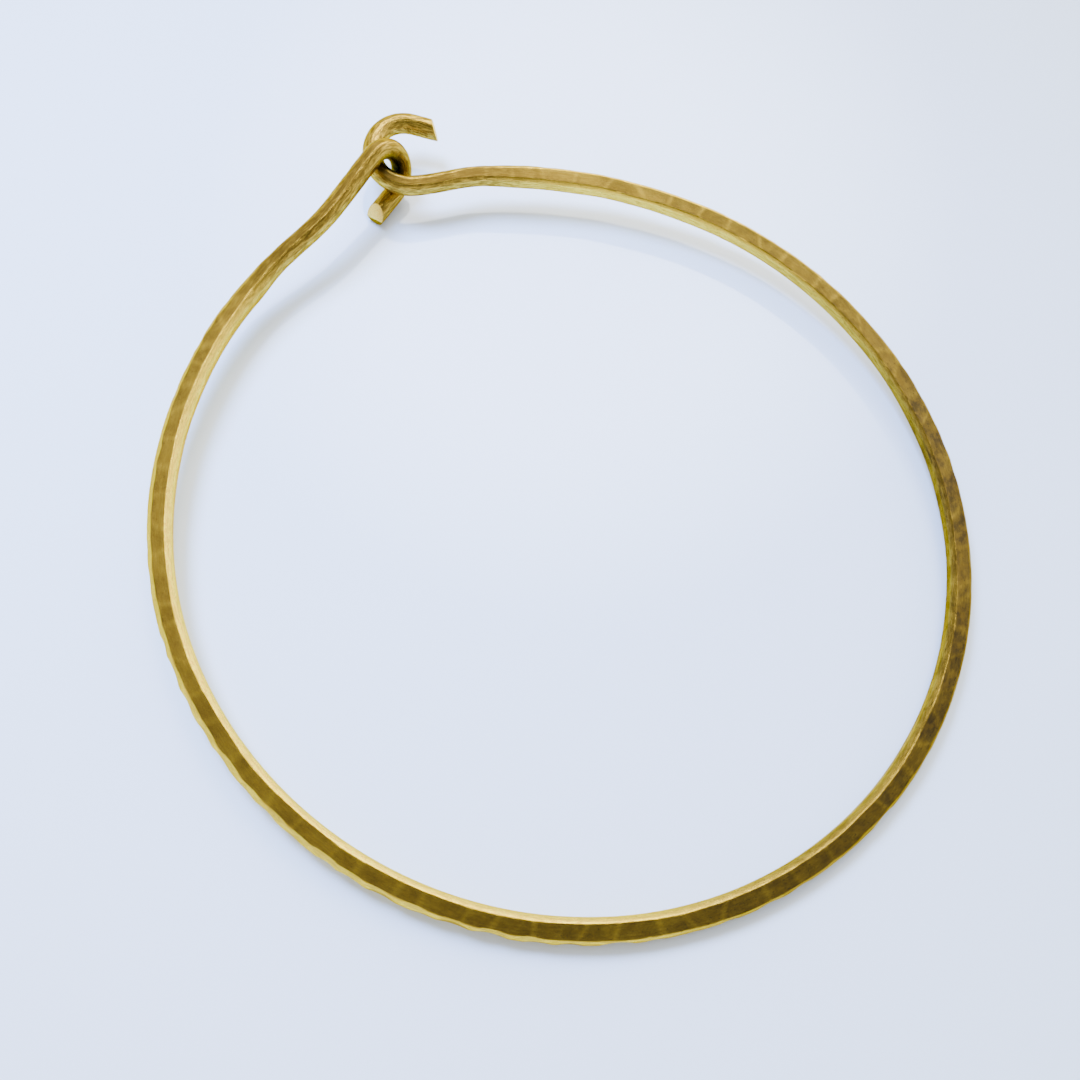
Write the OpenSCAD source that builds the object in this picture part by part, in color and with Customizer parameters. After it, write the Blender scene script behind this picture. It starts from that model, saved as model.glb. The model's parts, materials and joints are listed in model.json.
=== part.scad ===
// Hammered brass wire bangle with a hook-and-eye clasp.
// One length of wire: it is drawn as its sections, which butt end to end.
// Origin at the middle of the hoop, +Z along its axis, clasp at +Y.
// Seen from above, the left end of the wire comes from -X and the right end from +X.

/* [Hoop] */
// Inside diameter of the hoop, the opening for the wrist
inner_d = 60; // [52:0.5:72]
// Diameter of the forged wire of the hoop, before its flats
forged_d = 1.9; // [1.6:0.05:2.3]
// Depth of the narrow flat that the mandrel leaves on the inside
mandrel_flat = 0.07; // [0.05:0.01:0.1]
// Depth of the broad hammered face, on the top
face_depth = 0.18; // [0.1:0.01:0.25]
// Lean of the broad hammered face, from level towards the outside
face_lean = 14; // [5:1:55]
// Depth of the narrow hammered rim, on the outer side
rim_depth = 0.08; // [0.04:0.01:0.16]
// Lean of the narrow hammered rim, from level towards the outside
rim_lean = 95; // [85:1:130]

/* [Wire ends] */
// Diameter of the round wire of the shanks and hooks
wire_d = 1.7; // [1.4:0.05:2.1]
// Radius at which the left shank starts to climb over the right end
ramp_r = 8; // [5:0.5:12]
// Straight length of the left wire beyond its hook
left_tip_len = 2.9; // [2:0.1:3.6]
// Straight length of the right wire beyond its hook
right_tip_len = 1.9; // [1:0.1:2.3]
// Share of the wire that the cutter's slanted cut takes at each end
cut_share = 0.6; // [0.4:0.05:0.7]
// Angle between the cutter's slanted cut and the wire's axis
cut_angle = 50; // [40:1:70]
// Turn of the slanted cut about the left wire, from the inside of its hook
left_cut_turn = -10; // [-60:5:120]
// Turn of the slanted cut about the right wire, from the inside of its hook
right_cut_turn = 225; // [150:5:270]

/* [Clasp] */
// Clear height between the two wires where they cross
cross_gap = 0.25; // [0.15:0.01:0.35]
// Room beside the right wire inside the left hook
hook_play = 0.94; // [0.8:0.02:1.2]
// Room beside the left wire inside the right hook
eye_play = 3.14; // [2.7:0.02:3.8]
// Turn of the right hook
eye_turn = 195; // [180:1:200]
// How far the right hook stands clear of the hoop's own circle
eye_stand = 1.42; // [1.1:0.02:1.8]
// Centre of the right hook, to the right of the middle of the bangle
eye_side = 2.28; // [1.5:0.02:3]
// Crest of the left hook, to the left of the right hook's centre
crest_left = 1.18; // [1:0.02:1.25]
// Crest of the left hook, inward of the right hook's centre
crest_in = 0.5; // [0.3:0.02:0.7]

/* [Sections] */
// Angle of each back section of the hoop
back_span = 45; // [30:1:55]
// Angle of each side section of the hoop
side_span = 60; // [45:1:70]

/* [Hidden] */
$fn = 96;

BACK = 270;
FRONT = 90;
brass = "#b08d3c";
worn_brass = "#c9a44c";
cut_brass = "#e3c878";

// Circle that the middle of the hoop's wire follows
wire_r = inner_d / 2 + forged_d / 2 - mandrel_flat;

// Bends of the two hooks: each holds the other wire with its play
hook_r = wire_d + hook_play / 2;
eye_r = wire_d + eye_play / 2;
climb = wire_d + cross_gap;
hook_roll = asin(climb / hook_r);

// The right shank touches the hoop's circle on one side and the hook's on the other
eye_reach = wire_r + eye_r + eye_stand;
right_leave = asin(eye_side / eye_reach) + acos((wire_r + eye_r) / eye_reach);
right_run = sqrt(eye_reach ^ 2 - (wire_r + eye_r) ^ 2);

// The left hook's crest lies inside the right hook, and its shank touches the hoop's circle
crest_x = eye_side - crest_left;
crest_y = sqrt(eye_reach ^ 2 - eye_side ^ 2) - crest_in;
crest_inset = wire_r - hook_r * cos(hook_roll);
left_reach = sqrt(crest_x ^ 2 + crest_y ^ 2 - crest_inset ^ 2);
left_leave = atan2(left_reach, crest_inset) - atan2(crest_x, crest_y);

// The left shank curves up from the hoop, then runs straight at a slope
shank_reach = left_reach - hook_r;
slope_reach = norm([shank_reach, ramp_r - climb]);
left_run = sqrt(slope_reach ^ 2 - ramp_r ^ 2);
left_slope = atan2(shank_reach, ramp_r - climb) - acos(ramp_r / slope_reach);

// Angles that are left for the front sections of the hoop
half_turn = BACK - FRONT;
left_front_span = half_turn - back_span - side_span - left_leave;
right_front_span = half_turn - back_span - side_span - right_leave;

// A half-plane of the section, cut off beyond a distance from its middle
module flat_beyond(distance, lean) {
    rotate(90 - lean)
        translate([distance, -forged_d])
            square([forged_d, 2 * forged_d]);
}

// Section of the hoop: a round wire with its mandrel flat, hammered face and hammered rim
module forged_section() {
    difference() {
        circle(d = forged_d);
        flat_beyond(forged_d / 2 - face_depth, face_lean);
        flat_beyond(forged_d / 2 - rim_depth, rim_lean);
        flat_beyond(forged_d / 2 - mandrel_flat, BACK);
    }
}

module hoop_arc(start, span) {
    rotate([0, 0, start])
        rotate_extrude(angle = span)
            translate([wire_r, 0])
                forged_section();
}

// Round wire along +X, and the place where it ends
module run(length) {
    rotate([0, 90, 0])
        cylinder(d = wire_d, h = length);
}

module past_run(length) {
    translate([length, 0, 0])
        children();
}

// Round wire that heads along +X and turns towards +Y, and the place where it ends
module bend(radius, turn) {
    translate([0, radius, 0])
        rotate([0, 0, -90])
            rotate_extrude(angle = turn)
                translate([radius, 0])
                    circle(d = wire_d);
}

module past_bend(radius, turn) {
    translate([radius * sin(turn), radius * (1 - cos(turn)), 0])
        rotate([0, 0, turn])
            children();
}

// Straight wire with the slanted cut that a pair of cutters leaves on its +Y side
module cut_run(length) {
    difference() {
        run(length);
        translate([length, wire_d / 2 - cut_share * wire_d, 0])
            rotate([0, 0, 90 - cut_angle])
                translate([0, 0, -wire_d])
                    cube([wire_d, 2 * wire_d, 2 * wire_d]);
    }
}

// Left end of the wire: +X runs along it, +Y is up and +Z points into the hoop
module left_start() {
    rotate([0, 0, left_leave])
        translate([0, wire_r, 0])
            rotate([90, 0, 0])
                children();
}

module past_left_shank() {
    left_start()
        past_bend(ramp_r, left_slope)
            past_run(left_run)
                rotate([90 + hook_roll, 0, 0])
                    children();
}

// Right end of the wire: +X runs along it and +Y points out of the hoop
module right_start() {
    rotate([0, 0, -right_leave])
        translate([0, wire_r, 0])
            rotate([0, 0, 180])
                rotate([180, 0, 0])
                    children();
}

module past_right_shank() {
    right_start()
        past_run(right_run)
            children();
}

module hoop_back_left() {
    color(brass)
        hoop_arc(BACK - back_span, back_span);
}

module hoop_side_left() {
    color(brass)
        hoop_arc(BACK - back_span - side_span, side_span);
}

module hoop_front_left() {
    color(brass)
        hoop_arc(FRONT + left_leave, left_front_span);
}

module left_shank() {
    color(worn_brass)
        left_start() {
            bend(ramp_r, left_slope);
            past_bend(ramp_r, left_slope)
                run(left_run);
        }
}

module left_hook() {
    color(worn_brass)
        past_left_shank()
            bend(hook_r, half_turn);
}

module left_tip() {
    color(cut_brass)
        past_left_shank()
            past_bend(hook_r, half_turn)
                rotate([left_cut_turn, 0, 0])
                    cut_run(left_tip_len);
}

module hoop_back_right() {
    color(brass)
        hoop_arc(BACK, back_span);
}

module hoop_side_right() {
    color(brass)
        hoop_arc(BACK + back_span, side_span);
}

module hoop_front_right() {
    color(brass)
        hoop_arc(FRONT - right_leave - right_front_span, right_front_span);
}

module right_shank() {
    color(worn_brass)
        right_start()
            run(right_run);
}

module right_hook() {
    color(worn_brass)
        past_right_shank()
            bend(eye_r, eye_turn);
}

module right_tip() {
    color(cut_brass)
        past_right_shank()
            past_bend(eye_r, eye_turn)
                rotate([right_cut_turn, 0, 0])
                    cut_run(right_tip_len);
}

hoop_back_left();
hoop_side_left();
hoop_front_left();
left_shank();
left_hook();
left_tip();
hoop_back_right();
hoop_side_right();
hoop_front_right();
right_shank();
right_hook();
right_tip();
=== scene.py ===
"""Hammered brass bangle with a hook-and-eye clasp, lying on a glossy pale table."""
import json
import math
from collections import namedtuple

import bmesh
import bpy
import numpy as np
from mathutils import Matrix, Vector


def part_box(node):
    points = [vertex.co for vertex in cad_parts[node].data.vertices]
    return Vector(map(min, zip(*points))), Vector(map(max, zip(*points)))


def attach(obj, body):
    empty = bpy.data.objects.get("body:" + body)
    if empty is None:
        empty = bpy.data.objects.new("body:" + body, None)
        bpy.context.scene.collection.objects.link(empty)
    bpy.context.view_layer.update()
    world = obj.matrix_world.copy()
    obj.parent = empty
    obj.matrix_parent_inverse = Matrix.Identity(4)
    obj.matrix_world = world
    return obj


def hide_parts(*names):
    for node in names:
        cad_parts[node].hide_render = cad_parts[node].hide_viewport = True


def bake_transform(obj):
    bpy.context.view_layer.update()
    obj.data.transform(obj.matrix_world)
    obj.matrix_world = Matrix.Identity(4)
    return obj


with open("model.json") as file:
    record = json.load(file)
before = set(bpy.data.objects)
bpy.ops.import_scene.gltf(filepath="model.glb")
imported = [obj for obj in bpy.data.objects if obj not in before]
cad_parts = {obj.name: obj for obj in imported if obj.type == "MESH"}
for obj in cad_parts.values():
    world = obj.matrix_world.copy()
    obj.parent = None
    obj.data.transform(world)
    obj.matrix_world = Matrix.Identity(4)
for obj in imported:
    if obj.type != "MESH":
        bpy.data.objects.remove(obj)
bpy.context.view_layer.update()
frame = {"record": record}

MM = 0.001

# Sizes that the frame gives, in millimetres
hoop_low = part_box("hoop_side_left")[0]
shank_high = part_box("right_shank")[1]
tip_low, tip_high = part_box("left_tip")
back_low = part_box("hoop_back_left")[0]
INSIDE_R = frame["record"]["mounts"][0]["dims"]["r_mm"]
FORGED_R = -hoop_low.z / MM
WIRE_R = shank_high.z / MM

# Driving dimensions of the wire's ends, as the frame has them, in millimetres and degrees
MANDREL_FLAT = 0.07
CROSS_GAP = 0.25
HOOK_PLAY = 0.94
EYE_PLAY = 3.14
EYE_TURN = 195
EYE_STAND = 1.42
EYE_SIDE = 2.28
CREST_LEFT = 1.18
CREST_IN = 0.5
RAMP_R = 8
LEFT_TIP = 2.9
RIGHT_TIP = 1.9
CUT_SHARE = 0.6
CUT_ANGLE = 50
LEFT_CUT_TURN = -10
RIGHT_CUT_TURN = 225
BACK_SPAN = 45
SIDE_SPAN = 60

# The right end is cut nearly straight across, so its lip reaches a little further than the frame's
RIGHT_LIP = 0.4
RIGHT_CUT_SHARE = 0.95
RIGHT_CUT_ANGLE = 64

# The two bends of the clasp and where each end of the wire leaves the hoop's circle
HOOP_R = INSIDE_R + FORGED_R - MANDREL_FLAT
HOOK_R = 2 * WIRE_R + HOOK_PLAY / 2
EYE_R = 2 * WIRE_R + EYE_PLAY / 2
CLIMB = 2 * WIRE_R + CROSS_GAP
HOOK_ROLL = math.degrees(math.asin(CLIMB / HOOK_R))
EYE_REACH = HOOP_R + EYE_R + EYE_STAND
RIGHT_LEAVE = math.degrees(math.asin(EYE_SIDE / EYE_REACH) + math.acos((HOOP_R + EYE_R) / EYE_REACH))
RIGHT_RUN = math.sqrt(EYE_REACH ** 2 - (HOOP_R + EYE_R) ** 2)
CREST_X = EYE_SIDE - CREST_LEFT
CREST_Y = math.sqrt(EYE_REACH ** 2 - EYE_SIDE ** 2) - CREST_IN
CREST_INSET = HOOP_R - HOOK_R * math.cos(math.radians(HOOK_ROLL))
LEFT_REACH = math.sqrt(CREST_X ** 2 + CREST_Y ** 2 - CREST_INSET ** 2)
LEFT_LEAVE = math.degrees(math.atan2(LEFT_REACH, CREST_INSET) - math.atan2(CREST_X, CREST_Y))
SHANK_REACH = LEFT_REACH - HOOK_R
SLOPE_REACH = math.hypot(SHANK_REACH, RAMP_R - CLIMB)
LEFT_RUN = math.sqrt(SLOPE_REACH ** 2 - RAMP_R ** 2)
LEFT_SLOPE = math.degrees(math.atan2(SHANK_REACH, RAMP_R - CLIMB) - math.acos(RAMP_R / SLOPE_REACH))

# Mesh fineness
AROUND = 72
RING_STEP = 0.12

Stretch = namedtuple("Stretch", "start end at ahead side third radius spin hand")
Blow = namedtuple("Blow", "place lean depth tilt bow tint patina")


class Wire:
    """The middle line of one half of the wire, built up from the back of the hoop to the wire's end."""

    def __init__(self, ahead, hand):
        self.at = np.array([0.0, -HOOP_R, 0.0])
        self.ahead = np.array(ahead, float)
        self.side = np.array([0.0, 1.0, 0.0])
        self.third = np.cross(self.ahead, self.side)
        self.spin = math.pi
        self.hand = hand
        self.length = 0.0
        self.stretches = []

    def add(self, length, radius):
        self.stretches.append(
            Stretch(self.length, self.length + length, self.at, self.ahead, self.side, self.third,
                    radius, self.spin, self.hand))
        self.length += length
        return self.length

    def run(self, length):
        self.add(length, None)
        self.at = self.at + self.ahead * length
        return self.length

    def bend(self, radius, degrees):
        turn = math.radians(degrees)
        self.add(radius * turn, radius)
        self.at = self.at + self.ahead * radius * math.sin(turn) + self.side * radius * (1 - math.cos(turn))
        ahead = self.ahead * math.cos(turn) + self.side * math.sin(turn)
        self.side = self.side * math.cos(turn) - self.ahead * math.sin(turn)
        self.ahead = ahead
        return self.length

    def roll(self, degrees):
        turn = math.radians(degrees)
        side = self.side * math.cos(turn) + self.third * math.sin(turn)
        self.third = self.third * math.cos(turn) - self.side * math.sin(turn)
        self.side = side
        self.spin -= turn

    def lay(self, along, out, up):
        """Row-frame places of points given by their way along the wire and their place in its section."""
        placed = np.zeros((len(along), 3))
        for s in self.stretches:
            here = (along >= s.start - 1e-5) & (along <= s.end + 1e-5)
            gone = (along[here] - s.start)[:, None]
            if s.radius is None:
                middle = s.at + s.ahead * gone
                side = np.repeat(s.side[None], len(gone), axis=0)
            else:
                turn = gone / s.radius
                middle = s.at + s.ahead * s.radius * np.sin(turn) + s.side * s.radius * (1 - np.cos(turn))
                side = s.side * np.cos(turn) - s.ahead * np.sin(turn)
            upright = s.spin + s.hand * math.pi / 2
            outward = side * math.cos(s.spin) + s.third * math.sin(s.spin)
            upward = side * math.cos(upright) + s.third * math.sin(upright)
            placed[here] = middle + outward * out[here][:, None] + upward * up[here][:, None]
        return placed


def arc(degrees):
    return HOOP_R * math.radians(degrees)


left_wire = Wire((-1, 0, 0), 1)
LEFT_HOOP_END = left_wire.bend(HOOP_R, 180 - LEFT_LEAVE)
left_wire.roll(-90)
left_wire.bend(RAMP_R, LEFT_SLOPE)
LEFT_SHANK_END = left_wire.run(LEFT_RUN)
left_wire.roll(90 + HOOK_ROLL)
LEFT_HOOK_END = left_wire.bend(HOOK_R, 180)
LEFT_END = left_wire.run(LEFT_TIP)

right_wire = Wire((1, 0, 0), -1)
RIGHT_HOOP_END = right_wire.bend(HOOP_R, 180 - RIGHT_LEAVE)
right_wire.roll(180)
RIGHT_SHANK_END = right_wire.run(RIGHT_RUN)
RIGHT_HOOK_END = right_wire.bend(EYE_R, EYE_TURN)
RIGHT_END = right_wire.run(RIGHT_TIP + RIGHT_LIP)


# ---------------------------------------------------------------- hammer marks

# Along the wire: the left end is negative, the back of the hoop is 0 and the right end is positive
WAYMARKS = [-73, -55, -32, -12, 0, 20, 40, 60, 84]
FACE_LEAN = [9, 8, 10, 15, 15, 10, -2, -12, -12]
FACE_DEPTH = [0.15, 0.15, 0.16, 0.2, 0.21, 0.2, 0.2, 0.2, 0.18]
BEVEL_DEPTH = [0.07, 0.08, 0.08, 0.04, 0.03, 0.04, 0.04, 0.03, 0.03]
BLOW_STEP = [2.2, 2.2, 2.4, 2.8, 2.9, 2.6, 2.4, 2.5, 2.7]
# How tarnished the brass is along the wire; raised on the back and right of the hoop, it is partly painted
# shade
AGE_AND_SHADE = [0.5, 0.4, 0.42, 0.62, 0.86, 0.94, 1.0, 0.76, 0.44]
BLOW_REACH = 3.2
RIM_LEAN = 95
BEVEL_LEAN = 52


def by_place(values, place):
    return np.interp(place, WAYMARKS, values)


def fade(place):
    """How deep the blows go: full round the hoop, shallower along the shanks and gone at the tips."""
    marks = [-LEFT_END, -LEFT_SHANK_END, -LEFT_HOOP_END - 2, -LEFT_HOOP_END + 3,
             RIGHT_HOOP_END - 3, RIGHT_HOOP_END + 2, RIGHT_SHANK_END, RIGHT_SHANK_END + 5]
    return np.interp(place, marks, [0.12, 0.3, 0.55, 1, 1, 0.7, 0.35, 0.1])


def thickness(place):
    """Radius of the wire before its flats: forged round the hoop and drawn round at the ends."""
    left = np.clip((-place - LEFT_HOOP_END) / 4, 0, 1)
    right = np.clip((place - RIGHT_HOOP_END) / 4, 0, 1)
    share = np.maximum(left, right)
    share = share * share * (3 - 2 * share)
    return FORGED_R + (WIRE_R - FORGED_R) * share


def row_of_blows(rng, lean, lean_spread, depth, depth_spread, tilt, bow, patina, start, end):
    blows = []
    place = start
    while place < end:
        blows.append(Blow(
            place,
            math.radians(lean(place) + rng.uniform(-lean_spread, lean_spread)),
            max(0.01, depth(place) + rng.uniform(-depth_spread, depth_spread)),
            rng.uniform(-tilt, tilt),
            rng.uniform(*bow),
            rng.uniform(0, 1),
            patina))
        place += by_place(BLOW_STEP, place) * rng.uniform(0.8, 1.22)
    return blows


def planish_blows(rng, start, end):
    """Small random flats all round the wire, which pliers and a light hammer leave on the hooks."""
    blows = []
    place = start
    while place < end:
        blows.append(Blow(place, rng.uniform(0, 2 * math.pi), rng.uniform(0.012, 0.04),
                          rng.uniform(-0.03, 0.03), rng.uniform(3, 7), rng.uniform(0, 1), 0.3))
        place += rng.uniform(0.35, 0.8)
    return blows


def all_blows():
    rng = np.random.default_rng(41)
    start, end = -LEFT_SHANK_END, RIGHT_SHANK_END + 2
    blows = row_of_blows(rng, lambda p: by_place(FACE_LEAN, p), 1.4, lambda p: by_place(FACE_DEPTH, p), 0.008,
                         0.005, (55, 85), 1.0, start, end)
    blows += row_of_blows(rng, lambda p: BEVEL_LEAN, 5, lambda p: by_place(BEVEL_DEPTH, p), 0.022,
                          0.03, (6, 9), 0.25, start + 1, end)
    blows += row_of_blows(rng, lambda p: RIM_LEAN, 8, lambda p: 0.12, 0.055,
                          0.045, (3.0, 4.6), 0.35, start + 0.5, end)
    return blows


def all_planishing():
    rng = np.random.default_rng(7)
    left = planish_blows(rng, -LEFT_END, -LEFT_HOOP_END - 2)
    right = planish_blows(rng, RIGHT_HOOP_END + 3, RIGHT_END)
    return left + right


# Middle and half-widths of the dark spot inside the clasp, painted shade of the crevice between the hooks
# with some grime, in millimetres
CREVICE_SHADE_AT = np.array([CREST_X - 0.7, CREST_Y - 0.8, 0.3])
CREVICE_SHADE_REACH = np.array([1.6, 1.6, 1.9])

BLOWS = all_blows()
PLANISHING = all_planishing()


# Where the hand-bent wire swings out from its design line, or in from it: place and distance, millimetres
SWINGS = [
    (-98, 0), (-91, -0.3), (-83.4, 0.39), (-69.8, -0.055), (-64.6, -0.11), (-52, 0), (64, 0),
    (71.8, -0.04), (76, 0.01), (80.5, 0.19), (89.8, 0.715), (96.2, -0.185),
    (102.2, 0.345), (106.3, 0.14), (110, 0.325),
]


def swing(place):
    """How far the wire stands off its design line, eased from one turn of its path to the next."""
    offset = np.zeros_like(place)
    for (start, first), (end, last) in zip(SWINGS, SWINGS[1:]):
        share = (place - start) / (end - start)
        between = (share >= 0) & (share < 1)
        eased = share * share * (3 - 2 * share)
        offset = np.where(between, first + (last - first) * eased, offset)
    return offset


def wander(place, angle):
    """The slight unevenness of wire that was worked by hand."""
    rng = np.random.default_rng(19)
    drift = np.zeros_like(place)
    for order in (0, 1, 1, 2, 2, 3):
        drift += rng.uniform(0.003, 0.008) * np.sin(
            place * 2 * math.pi / rng.uniform(3.5, 16) + order * angle + rng.uniform(0, 2 * math.pi))
    return drift


def strike(place, out, up):
    """Presses each blow's shallow hollow into the wire, and gives how aged, tinted and ridged it becomes."""
    first_out, first_up = out.copy(), up.copy()
    deepest = np.zeros_like(place)
    second = np.zeros_like(place)
    tint = np.full_like(place, 0.5)
    patina = np.zeros_like(place)
    for blow, full in [(b, False) for b in BLOWS] + [(b, True) for b in PLANISHING]:
        near = np.nonzero(np.abs(place - blow.place) < BLOW_REACH)[0]
        if not len(near):
            continue
        n_out, n_up = math.sin(blow.lean), math.cos(blow.lean)
        gone = place[near] - blow.place
        depth = blow.depth * (1 if full else fade(place[near]))
        height = thickness(place[near]) - depth + blow.tilt * gone + gone ** 2 / (2 * blow.bow)
        over = np.maximum(out[near] * n_out + up[near] * n_up - height, 0)
        out[near] -= over * n_out
        up[near] -= over * n_up
        pressed = np.maximum(first_out[near] * n_out + first_up[near] * n_up - height, 0)
        wins = pressed > deepest[near]
        second[near] = np.where(wins, deepest[near], np.maximum(second[near], pressed))
        deepest[near] = np.where(wins, pressed, deepest[near])
        tint[near] = np.where(wins, blow.tint, tint[near])
        patina[near] = np.where(wins, blow.patina, patina[near])
    pressed_share = np.clip(deepest / 0.035, 0, 1)
    ridge = np.clip(1 - (deepest - second) / 0.012, 0, 1) * (second > 0.004)
    return patina * pressed_share, tint, ridge


def flatten_inside(place, out):
    """The narrow flat that the mandrel leaves along the inside of the hoop."""
    limit = thickness(place) - MANDREL_FLAT * fade(place)
    return np.maximum(out, -limit)


# ---------------------------------------------------------------- pieces of wire

def blank(name, start, end, radius):
    """A straight length of round wire along X, with rings close enough to take the hammer marks."""
    bpy.ops.object.select_all(action="DESELECT")
    bpy.ops.mesh.primitive_circle_add(vertices=AROUND, radius=radius, fill_type="NGON",
                                      location=(start, 0, 0), rotation=(0, math.pi / 2, 0))
    piece = bpy.context.object
    piece.name = name
    piece.data.name = name
    bpy.ops.object.transform_apply(location=True, rotation=True, scale=True)
    bpy.ops.object.mode_set(mode="EDIT")
    bpy.ops.mesh.select_all(action="SELECT")
    bpy.ops.mesh.extrude_region_move(TRANSFORM_OT_translate={"value": (end - start, 0, 0)})
    rings = max(2, round((end - start) / RING_STEP))
    first = max(1, round(math.sqrt(rings)))
    for cuts in (first - 1, round(rings / first) - 1):
        if cuts > 0:
            select_lengthwise_edges(piece)
            bpy.ops.mesh.subdivide(number_cuts=cuts)
    bpy.ops.mesh.select_all(action="SELECT")
    bpy.ops.mesh.normals_make_consistent(inside=False)
    bpy.ops.object.mode_set(mode="OBJECT")
    return piece


def select_lengthwise_edges(piece):
    bpy.ops.mesh.select_mode(type="EDGE")
    mesh = bmesh.from_edit_mesh(piece.data)
    for face in mesh.faces:
        face.select_set(False)
    for edge in mesh.edges:
        step = edge.verts[1].co - edge.verts[0].co
        edge.select_set(abs(step.x) > 1e-4)
    bmesh.update_edit_mesh(piece.data)


def cut_end(piece, wire, end, turn, cut_share, cut_angle):
    """The slanted cut of a pair of cutters across the end of the wire, with its edge slightly broken."""
    last = wire.stretches[-1]
    about = math.radians(turn) - last.spin
    across = Vector((0, math.cos(about), last.hand * math.sin(about)))
    way = 1 if end > 0 else -1
    corner = Vector((end, 0, 0)) + across * (WIRE_R - 2 * WIRE_R * cut_share)
    lean = math.radians(90 - cut_angle)
    facing = Vector((way * math.cos(lean), 0, 0)) + across * math.sin(lean)
    bpy.ops.object.mode_set(mode="EDIT")
    bpy.ops.mesh.select_all(action="SELECT")
    bpy.ops.mesh.bisect(plane_co=corner, plane_no=facing, use_fill=True, clear_outer=True)
    bpy.ops.mesh.select_mode(type="FACE")
    mesh = bmesh.from_edit_mesh(piece.data)
    for face in mesh.faces:
        at_end = abs(face.calc_center_median().x - end) < 1e-4 and abs(face.normal.x) > 0.9
        slanted = face.normal.dot(facing) > 0.98 and len(face.verts) > 4
        face.select_set(at_end or slanted)
    bmesh.update_edit_mesh(piece.data)
    bpy.ops.mesh.region_to_loop()
    bpy.ops.mesh.bevel(offset=0.05, segments=2, affect="EDGES")
    bpy.ops.mesh.select_all(action="SELECT")
    bpy.ops.mesh.normals_make_consistent(inside=False)
    bpy.ops.object.mode_set(mode="OBJECT")
    return np.abs((read_points(piece) - np.array(corner)) @ np.array(facing)) < 0.02


def read_points(piece):
    flat = np.zeros(len(piece.data.vertices) * 3)
    piece.data.vertices.foreach_get("co", flat)
    return flat.reshape(-1, 3)


def drawn_share(place):
    """0 where the wire is forged and 1 where it is still as drawn, at both ends."""
    marks = [-LEFT_HOOP_END - 4, -LEFT_HOOP_END + 5, RIGHT_HOOP_END - 5, RIGHT_HOOP_END + 4]
    return np.interp(place, marks, [1, 0, 0, 1])


def note(piece, place, out, up, aged, tint, ridge, grime_and_shade_share, fresh):
    """Writes the wire's straight places, its wear and its painted shade onto the mesh, for the brass to
    follow.
    """
    ends = piece.data.attributes.new("ends", "FLOAT_COLOR", "POINT")
    whole = np.ones_like(place)
    kinds = np.column_stack((drawn_share(place), grime_and_shade_share, fresh, whole))
    ends.data.foreach_set("color", kinds.astype(np.float32).ravel())
    straight = piece.data.attributes.new("straight", "FLOAT_VECTOR", "POINT")
    straight.data.foreach_set("vector", np.column_stack((place, out, up)).astype(np.float32).ravel())
    wear_and_shade = piece.data.attributes.new("wear_and_shade", "FLOAT_COLOR", "POINT")
    # The alpha is how tarnished each stretch is, raised on the back and right of the hoop as painted shade
    age_and_shade = by_place(AGE_AND_SHADE, place)
    wear_and_shade.data.foreach_set("color", np.column_stack((aged, tint, ridge, age_and_shade)).astype(np.float32).ravel())


def crevice_grime_and_shade(laid):
    """Share of the near-black painted shade, with some grime, in the crevice where the two hooks rub inside
    each other.
    """
    gone = np.linalg.norm((laid - CREVICE_SHADE_AT) / CREVICE_SHADE_REACH, axis=1)
    share = np.clip(1.25 - gone, 0, 1)
    return share * share * (3 - 2 * share)


def work(piece, radius, fresh=None):
    """Hammers the straight wire, then lays it along its bends in the row frame."""
    points = read_points(piece)
    place, out, up = points[:, 0].copy(), points[:, 1].copy(), points[:, 2].copy()
    scale = thickness(place) / radius + wander(place, np.arctan2(up, out)) / radius
    out *= scale
    up *= scale
    out = flatten_inside(place, out)
    aged, tint, ridge = strike(place, out, up)
    left = place < 0
    laid = np.zeros_like(points)
    swung = out + swing(place)
    laid[left] = left_wire.lay(-place[left], swung[left], up[left])
    laid[~left] = right_wire.lay(place[~left], swung[~left], up[~left])
    if fresh is None:
        fresh = np.zeros_like(place)
    note(piece, place, out, up, aged, tint, ridge, crevice_grime_and_shade(laid), fresh)
    piece.data.vertices.foreach_set("co", (laid * MM).ravel())
    piece.data.update()


def finish_piece(piece, brass, nodes, body=None):
    bpy.ops.object.select_all(action="DESELECT")
    bpy.context.view_layer.objects.active = piece
    piece.select_set(True)
    bpy.ops.object.mode_set(mode="EDIT")
    bpy.ops.mesh.select_all(action="SELECT")
    bpy.ops.mesh.normals_make_consistent(inside=False)
    bpy.ops.object.mode_set(mode="OBJECT")
    bpy.ops.object.shade_smooth_by_angle(angle=math.radians(38))
    piece.data.materials.clear()
    piece.data.materials.append(brass)
    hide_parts(*nodes)
    if body:
        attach(piece, body)
    return piece


def length_of_wire(name, start, end, brass, nodes, body=None):
    piece = blank(name, start, end, FORGED_R)
    work(piece, FORGED_R)
    return finish_piece(piece, brass, nodes, body)


def wire_tip(name, start, end, wire, turn, cut_share, cut_angle, brass, body):
    """The straight end of the wire beyond its hook, with the cutter's slanted cut."""
    piece = blank(name, min(start, end), max(start, end), WIRE_R)
    fresh = cut_end(piece, wire, end, turn, cut_share, cut_angle)
    work(piece, WIRE_R, fresh.astype(float))
    return finish_piece(piece, brass, [name], body)


# ---------------------------------------------------------------- brass

def add(tree, kind, links=(), **values):
    """A node with its values set and its sockets linked: links are (socket, from node, from socket)."""
    node = tree.nodes.new(kind)
    for key, value in values.items():
        setattr(node, key, value)
    for socket, source, output in links:
        tree.links.new(source.outputs[output], node.inputs[socket])
    return node


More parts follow.
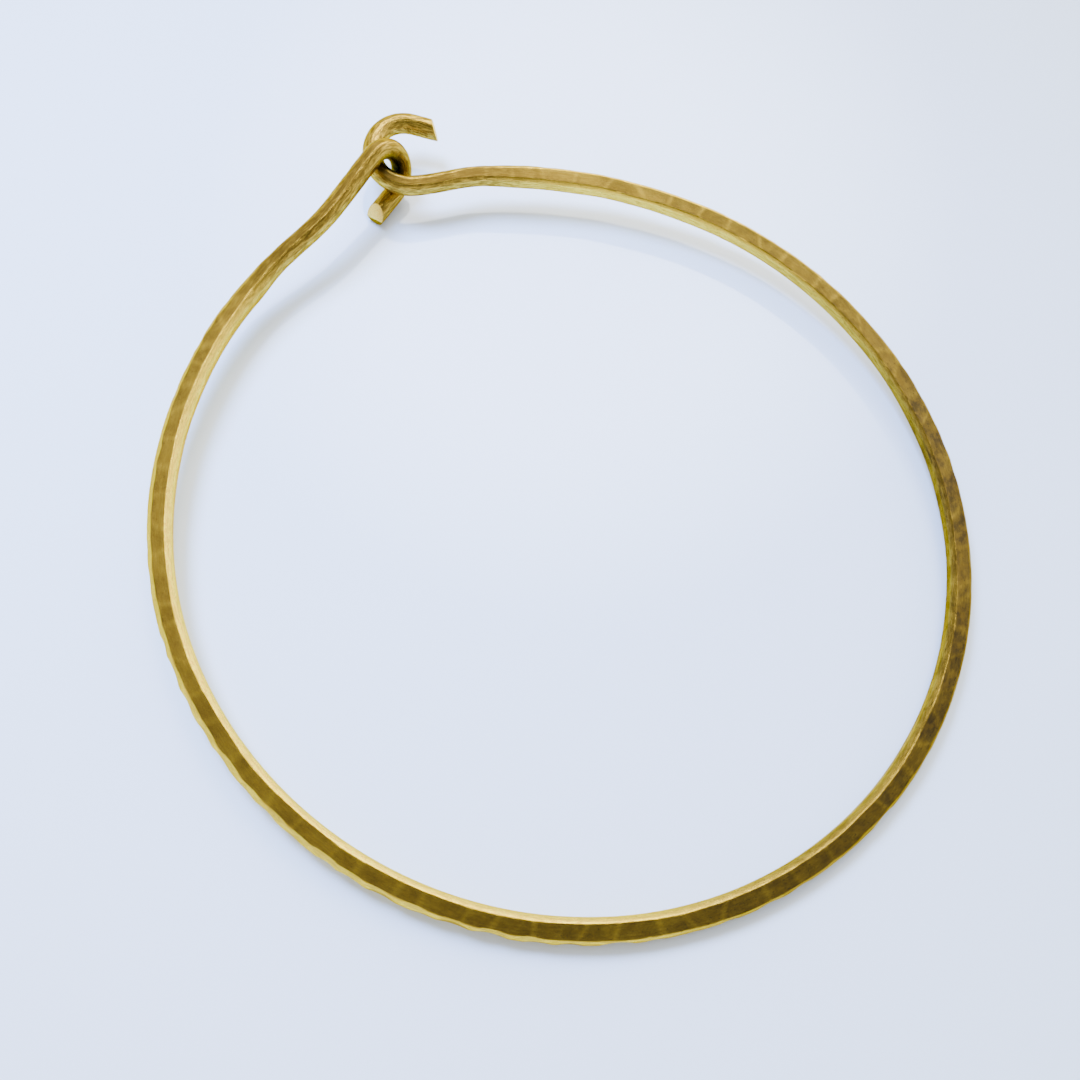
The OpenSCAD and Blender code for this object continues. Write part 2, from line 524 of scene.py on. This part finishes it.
def noise(tree, place, stretch, scale, detail, rough=0.6):
    """Noise in the straight wire's own millimetres, drawn out along the wire by stretch."""
    mapped = add(tree, "ShaderNodeMapping", [("Vector", place, "Vector")])
    mapped.inputs["Scale"].default_value = (1 / stretch, 1, 1)
    made = add(tree, "ShaderNodeTexNoise", [("Vector", mapped, "Vector")])
    made.inputs["Scale"].default_value = scale
    made.inputs["Detail"].default_value = detail
    made.inputs["Roughness"].default_value = rough
    return made


def ramp(tree, source, output, stops):
    made = add(tree, "ShaderNodeValToRGB", [("Fac", source, output)])
    elements = made.color_ramp.elements
    while len(elements) < len(stops):
        elements.new(0.5)
    for element, (position, colour) in zip(elements, stops):
        element.position = position
        element.color = (*colour, 1) if isinstance(colour, tuple) else (colour, colour, colour, 1)
    return made


def maths(tree, operation, first, second, clamp=False):
    """first and second are numbers or (node, output)."""
    made = tree.nodes.new("ShaderNodeMath")
    made.operation = operation
    made.use_clamp = clamp
    for index, value in enumerate((first, second)):
        if isinstance(value, tuple):
            tree.links.new(value[0].outputs[value[1]], made.inputs[index])
        else:
            made.inputs[index].default_value = value
    return made


def mix(tree, share, first, second):
    """Mixes two colours: each is an (r, g, b) or a (node, output)."""
    made = add(tree, "ShaderNodeMix", data_type="RGBA")
    tree.links.new(share[0].outputs[share[1]], made.inputs["Factor"])
    for socket, value in ((6, first), (7, second)):
        if isinstance(value[0], bpy.types.Node):
            tree.links.new(value[0].outputs[value[1]], made.inputs[socket])
        else:
            made.inputs[socket].default_value = (*value, 1)
    return made


# Colours of the brass: polished and rubbed where it was forged, the same where it is as drawn, and aged; the
# dull and oxide colours also paint shade on the back and right of the hoop, and the near-black last one is
# painted shade in the clasp's crevice, with some grime
CLEAN = (0.92, 0.64, 0.06)
WORN = (0.74, 0.49, 0.04)
DRAWN_CLEAN = (0.6, 0.4, 0.05)
DRAWN_WORN = (0.24, 0.15, 0.02)
DULL_AND_SHADE = (0.115, 0.07, 0.017)
DULL_DARK_AND_SHADE = (0.032, 0.02, 0.009)
AGED = (0.165, 0.103, 0.018)
OXIDE = (0.024, 0.019, 0.014)
FRESH = (0.9, 0.62, 0.12)
CREVICE_GRIME_AND_SHADE = (0.012, 0.015, 0.009)


def brass(name):
    """Brass that is clean where it rubs and brown in its hammer marks, with painted shade darkening the back
    and right of the hoop and the clasp's crevice. All of the wire has one recipe.
    """
    material = bpy.data.materials.new(name)
    material.use_nodes = True
    tree = material.node_tree
    shader = tree.nodes["Principled BSDF"]
    shader.inputs["Metallic"].default_value = 1.0
    shader.inputs["Specular Tint"].default_value = (0.95, 0.7, 0.2, 1)
    place = add(tree, "ShaderNodeAttribute", attribute_name="straight")
    wear_and_shade = add(tree, "ShaderNodeAttribute", attribute_name="wear_and_shade")
    ends = add(tree, "ShaderNodeAttribute", attribute_name="ends")
    parts = add(tree, "ShaderNodeSeparateColor", [("Color", wear_and_shade, "Color")])
    kinds = add(tree, "ShaderNodeSeparateColor", [("Color", ends, "Color")])

    streaks = noise(tree, place, 6, 7.5, 5)
    blotch = noise(tree, place, 1.8, 0.9, 4)
    specks = noise(tree, place, 1.6, 7.5, 3)
    scratch = noise(tree, place, 14, 22, 3)
    grain = noise(tree, place, 1, 34, 3)

    mark = maths(tree, "MULTIPLY", (parts, "Blue"), (wear_and_shade, "Alpha"))
    mark = maths(tree, "MULTIPLY", (mark, 0), 0.45)
    mark = maths(tree, "SUBTRACT", (parts, "Red"), (mark, 0), clamp=True)
    cloud = ramp(tree, blotch, "Fac", [(0.34, 0.82), (0.62, 1.0)])
    aging = maths(tree, "MULTIPLY", (mark, 0), (cloud, "Color"), clamp=True)
    fine = ramp(tree, grain, "Fac", [(0.38, 0.7), (0.56, 1.0)])
    aging = maths(tree, "MULTIPLY", (aging, 0), (fine, "Color"), clamp=True)

    rubbed = ramp(tree, streaks, "Fac", [(0.42, 0.0), (0.56, 1.0)])
    forged = mix(tree, (rubbed, "Color"), CLEAN, WORN)
    drawn = mix(tree, (rubbed, "Color"), DRAWN_CLEAN, DRAWN_WORN)
    base = mix(tree, (kinds, "Red"), (forged, 2), (drawn, 2))
    # Tarnish and painted shade: dull brown spreads with the age channel, which is raised on the back and
    # right of the hoop
    dulled_and_shaded = mix(tree, (rubbed, "Color"), DULL_AND_SHADE, DULL_DARK_AND_SHADE)
    patches = ramp(tree, blotch, "Fac", [(0.36, 0.8), (0.6, 1.0)])
    dull_and_shade = ramp(tree, wear_and_shade, "Alpha", [(0.4, 0.08), (0.64, 0.2), (0.86, 0.72), (1.0, 0.97)])
    spread = maths(tree, "MULTIPLY", (patches, "Color"), (dull_and_shade, "Color"))
    base = mix(tree, (spread, 0), (base, 2), (dulled_and_shaded, 2))

    # Tarnish and painted shade: the hollows' brown turns towards oxide with the same age channel
    darker = ramp(tree, wear_and_shade, "Alpha", [(0.42, 0.0), (0.62, 0.5), (0.86, 0.62), (1.0, 0.95)])
    blow = maths(tree, "MULTIPLY_ADD", (parts, "Green"), 0.5)
    blow.inputs[2].default_value = 0.72
    darker = maths(tree, "MULTIPLY", (darker, "Color"), (blow, 0), clamp=True)
    mottle = noise(tree, place, 1.3, 1.5, 6, 0.68)
    mottle = ramp(tree, mottle, "Fac", [(0.42, 0.5), (0.54, 1.0)])
    darker = maths(tree, "MULTIPLY", (darker, 0), (mottle, "Color"), clamp=True)
    brown = mix(tree, (darker, 0), AGED, OXIDE)
    base = mix(tree, (aging, 0), (base, 2), (brown, 2))
    # The oxide specks also follow the age channel, which is partly painted shade
    pits = ramp(tree, specks, "Fac", [(0.6, 0.0), (0.7, 0.85)])
    pits = maths(tree, "MULTIPLY", (pits, "Color"), (wear_and_shade, "Alpha"))
    base = mix(tree, (pits, 0), (base, 2), OXIDE)
    base = mix(tree, (kinds, "Blue"), (base, 2), FRESH)
    # Painted shade, with some grime: near black in the crevice inside the clasp
    base = mix(tree, (kinds, "Green"), (base, 2), CREVICE_GRIME_AND_SHADE)
    tree.links.new(base.outputs[2], shader.inputs["Base Color"])

    polish = ramp(tree, streaks, "Fac", [(0.3, 0.22), (0.72, 0.34)])
    rough = add(tree, "ShaderNodeMix", [("Factor", aging, 0), (2, polish, "Color")], data_type="FLOAT")
    rough.inputs[3].default_value = 0.38
    tree.links.new(rough.outputs[0], shader.inputs["Roughness"])

    relief = maths(tree, "MULTIPLY_ADD", (grain, "Fac"), 0.5)
    tree.links.new(scratch.outputs["Fac"], relief.inputs[2])
    bump = add(tree, "ShaderNodeBump", [("Height", relief, 0)])
    bump.inputs["Strength"].default_value = 0.75
    bump.inputs["Distance"].default_value = 0.022 * MM
    tree.links.new(bump.outputs["Normal"], shader.inputs["Normal"])
    return material


def glossy_table():
    """Pale lacquered table: nearly white, cooler where the window reaches it."""
    material = bpy.data.materials.new("glossy pale table")
    material.use_nodes = True
    shader = material.node_tree.nodes["Principled BSDF"]
    shader.inputs["Base Color"].default_value = (0.75, 0.82, 0.9, 1)
    shader.inputs["Roughness"].default_value = 0.05
    shader.inputs["IOR"].default_value = 1.5
    return material


# ---------------------------------------------------------------- stage, light and camera

def table():
    """The hoop rests on its back and its left tip, so the table leans a little in the bangle's frame."""
    bpy.ops.object.select_all(action="DESELECT")
    bpy.ops.mesh.primitive_plane_add(size=2.4)
    floor = bpy.context.object
    floor.name = "table"
    floor.data.materials.append(glossy_table())
    back = Vector((0, back_low.y + FORGED_R * MM, back_low.z))
    front = Vector((0, (tip_low.y + tip_high.y) / 2, tip_low.z))
    lean = math.atan2(front.z - back.z, front.y - back.y)
    place = Matrix.Translation(back - Vector((0, 0, 0.05 * MM))) @ Matrix.Rotation(lean, 4, "X")
    floor.data.transform(place)


def softbox(name, azimuth, elevation, distance, width, height, power, colour):
    """A soft light round the bangle: azimuth turns from +X towards +Y."""
    turn, rise = math.radians(azimuth), math.radians(elevation)
    away = Vector((math.cos(turn) * math.cos(rise), math.sin(turn) * math.cos(rise), math.sin(rise)))
    data = bpy.data.lights.new(name, "AREA")
    data.shape = "RECTANGLE"
    data.size = width
    data.size_y = height
    data.energy = power
    data.color = colour
    light = bpy.data.objects.new(name, data)
    bpy.context.collection.objects.link(light)
    light.location = away * distance
    light.rotation_euler = away.to_track_quat("Z", "Y").to_euler()
    light.visible_glossy = False


def lobe(tree, coordinates, towards, stops):
    """Light of the room by how near a direction is to towards."""
    near = add(tree, "ShaderNodeVectorMath", [(0, coordinates, "Generated")], operation="DOT_PRODUCT")
    near.inputs[1].default_value = Vector(towards).normalized()
    return ramp(tree, near, "Value", stops)


def plus(tree, first, output, second, other):
    """The sum of two lights."""
    both = add(tree, "ShaderNodeMix", data_type="RGBA", blend_type="ADD")
    both.inputs["Factor"].default_value = 1
    tree.links.new(first.outputs[output], both.inputs[6])
    tree.links.new(second.outputs[other], both.inputs[7])
    return both


def glow():
    """Blue daylight that reaches the table beyond the clasp and fades towards the back of the hoop."""
    data = bpy.data.lights.new("daylight", "SPOT")
    data.energy = 23
    data.color = (0.31, 0.49, 1.0)
    data.spot_size = math.radians(44)
    data.spot_blend = 1.0
    data.shadow_soft_size = 0.07
    light = bpy.data.objects.new("daylight", data)
    bpy.context.collection.objects.link(light)
    light.location = Vector((-0.074, 0.19, 0.26))
    aim = Vector((-0.022, 0.034, 0)) - light.location
    light.rotation_euler = aim.to_track_quat("-Z", "Y").to_euler()
    light.visible_glossy = False


def room():
    """Bright pale walls and a window, a dim ceiling where someone leans over, and one lamp overhead."""
    world = bpy.data.worlds.new("room")
    bpy.context.scene.world = world
    world.use_nodes = True
    tree = world.node_tree
    background = tree.nodes["Background"]
    coordinates = add(tree, "ShaderNodeTexCoord")
    walls = lobe(tree, coordinates, (-0.05, -0.12, 0.99), [
        (0.2, (0.7, 0.73, 0.8)), (0.5, (0.46, 0.48, 0.53)),
        (0.74, (0.26, 0.27, 0.3)), (0.9, (0.17, 0.18, 0.2))])
    window = lobe(tree, coordinates, (0.9, 0.34, 0.28), [(0.7, 0.0), (0.95, 0.95)])
    lamp = lobe(tree, coordinates, (0.396, 0.507, 0.766), [(0.955, 0.0), (0.99, 5.5)])
    both = plus(tree, walls, "Color", window, "Color")
    whole = plus(tree, both, 2, lamp, "Color")
    tree.links.new(whole.outputs[2], background.inputs["Color"])
    background.inputs["Strength"].default_value = 2.4
    softbox("ceiling", 80, 80, 0.7, 0.5, 0.5, 2.6, (1.0, 1.0, 1.0))
    glow()


def camera():
    data = bpy.data.cameras.new("camera")
    data.sensor_width = 36
    data.lens = 40
    data.clip_start = 0.001
    placed = bpy.data.objects.new("camera", data)
    bpy.context.collection.objects.link(placed)
    right = Vector((0.87820, -0.45623, 0.14358))
    above = Vector((0.37744, 0.84544, 0.37784))
    behind = right.cross(above)
    turn = Matrix((right, above, behind)).transposed().to_4x4()
    placed.matrix_world = Matrix.Translation(Vector((-30.44, -26.29, 83.11)) * MM) @ turn
    bpy.context.scene.camera = placed


# ---------------------------------------------------------------- build

HAMMERED = brass("hammered brass")
DRAWN = brass("drawn brass")
CUT = brass("cut brass")

BACK_END = arc(BACK_SPAN)
SIDE_END = arc(BACK_SPAN + SIDE_SPAN)

hoop_back = length_of_wire("hoop_back", -BACK_END, BACK_END, HAMMERED,
                           ["hoop_back_left", "hoop_back_right"])
length_of_wire("hoop_side_left", -SIDE_END, -BACK_END, HAMMERED,
               ["hoop_side_left"], "left_half")
length_of_wire("hoop_side_right", BACK_END, SIDE_END, HAMMERED,
               ["hoop_side_right"], "right_half")
length_of_wire("hoop_front_left", -LEFT_HOOP_END, -SIDE_END, HAMMERED,
               ["hoop_front_left"], "left_half")
length_of_wire("hoop_front_right", SIDE_END, RIGHT_HOOP_END, HAMMERED,
               ["hoop_front_right"], "right_half")
length_of_wire("left_shank", -LEFT_SHANK_END, -LEFT_HOOP_END, DRAWN,
               ["left_shank"], "left_half")
length_of_wire("right_shank", RIGHT_HOOP_END, RIGHT_SHANK_END, DRAWN,
               ["right_shank"], "right_half")
length_of_wire("left_hook", -LEFT_HOOK_END, -LEFT_SHANK_END, DRAWN, ["left_hook"], "left_half")
length_of_wire("right_hook", RIGHT_SHANK_END, RIGHT_HOOK_END, DRAWN,
               ["right_hook"], "right_half")
wire_tip("left_tip", -LEFT_HOOK_END, -LEFT_END, left_wire,
         LEFT_CUT_TURN, CUT_SHARE, CUT_ANGLE, CUT, "left_half")
wire_tip("right_tip", RIGHT_HOOK_END, RIGHT_END, right_wire,
         RIGHT_CUT_TURN, RIGHT_CUT_SHARE, RIGHT_CUT_ANGLE, CUT, "right_half")

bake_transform(hoop_back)

table()
room()
camera()
